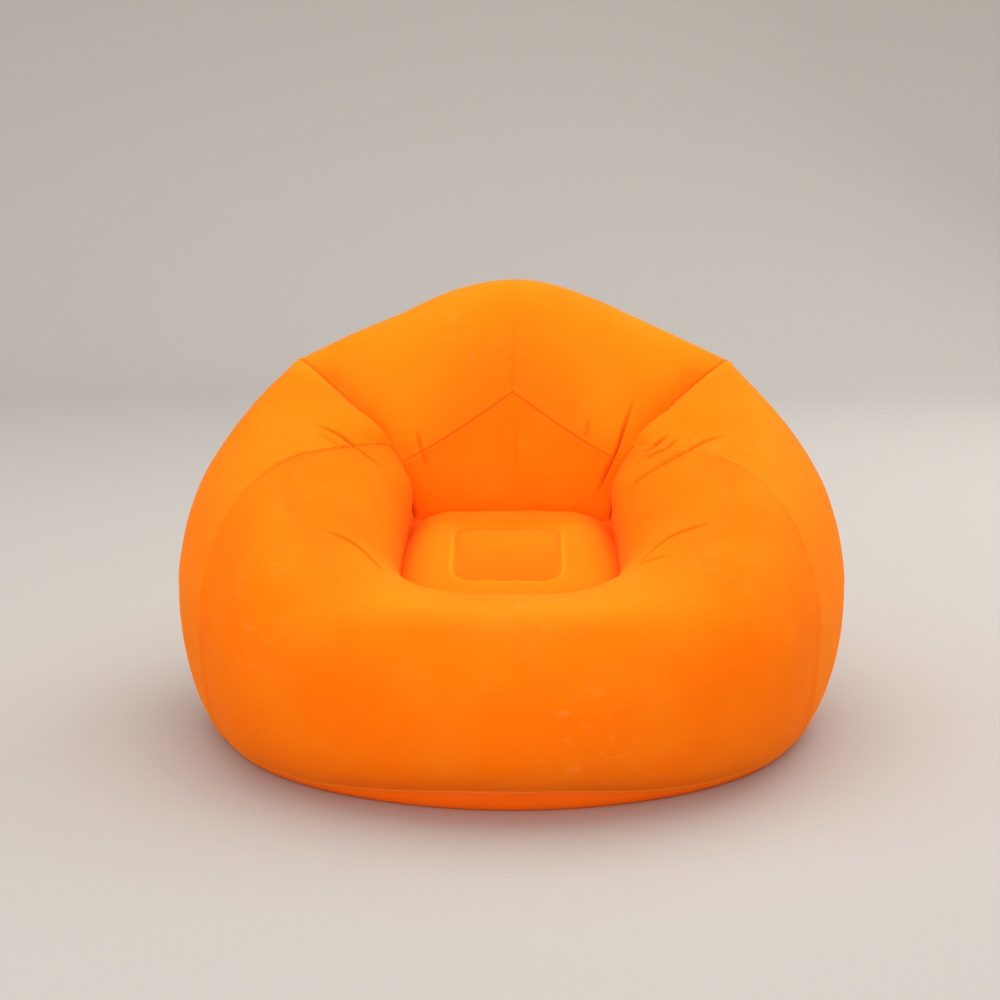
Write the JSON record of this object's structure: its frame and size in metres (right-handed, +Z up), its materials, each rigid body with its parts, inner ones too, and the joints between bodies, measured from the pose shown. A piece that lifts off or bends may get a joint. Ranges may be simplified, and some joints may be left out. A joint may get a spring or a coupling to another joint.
{
  "type": "inflatable sofa",
  "caption": "One-person inflatable air chair of flocked PVC: a round welded body with a bucket seat, inner tension sheets and a two-way air valve.",
  "frame": {"origin": "on the floor, under the middle of the chair", "axes": "+Z up, -Y to the front of the chair, +X to the sitter's left"},
  "size_m": [1.066, 1.04, 0.685],
  "materials": {
    "flocked_skin": "soft flocked pile on PVC sheet, matt with a pale velvet edge",
    "base_skin": "plain PVC sheet",
    "tie_sheet": "plain PVC sheet",
    "valve_moulding": "moulded soft PVC",
    "valve_flap": "thin soft PVC disc",
    "valve_cap": "moulded soft PVC"
  },
  "bodies": {
    "chair": {"front_panel": "flocked_skin", "left_arm_panel": "flocked_skin", "right_arm_panel": "flocked_skin", "left_back_panel": "flocked_skin", "right_back_panel": "flocked_skin", "lumbar_panel": "flocked_skin", "seat_panel": "flocked_skin", "base_panel": "base_skin", "seat_tension_tube": "tie_sheet", "left_back_web": "tie_sheet", "right_back_web": "tie_sheet", "valve_base": "valve_moulding"},
    "plug": {"valve_plug": "valve_moulding"},
    "cap": {"valve_cap": "valve_cap"},
    "flap": {"valve_flap": "valve_flap"}
  },
  "joints": [
    {"name": "plug_pull", "type": "slide", "parent": "chair", "child": "plug", "axis": [0.2342, 0.9635, -0.1296], "range_m": [0, 0.026]},
    {"name": "cap_swing", "type": "hinge", "parent": "plug", "child": "cap", "pos_m": [0.17872, 0.50543, 0.18005], "axis": [-0.9717, 0.2362, 0], "range_deg": [0, 160]},
    {"name": "flap_swing", "type": "hinge", "parent": "plug", "child": "flap", "pos_m": [0.1731, 0.48233, 0.21341], "axis": [-0.9717, 0.2362, 0], "range_deg": [0, 35], "stiffness_Nm_per_rad": 0.0005}
  ]
}
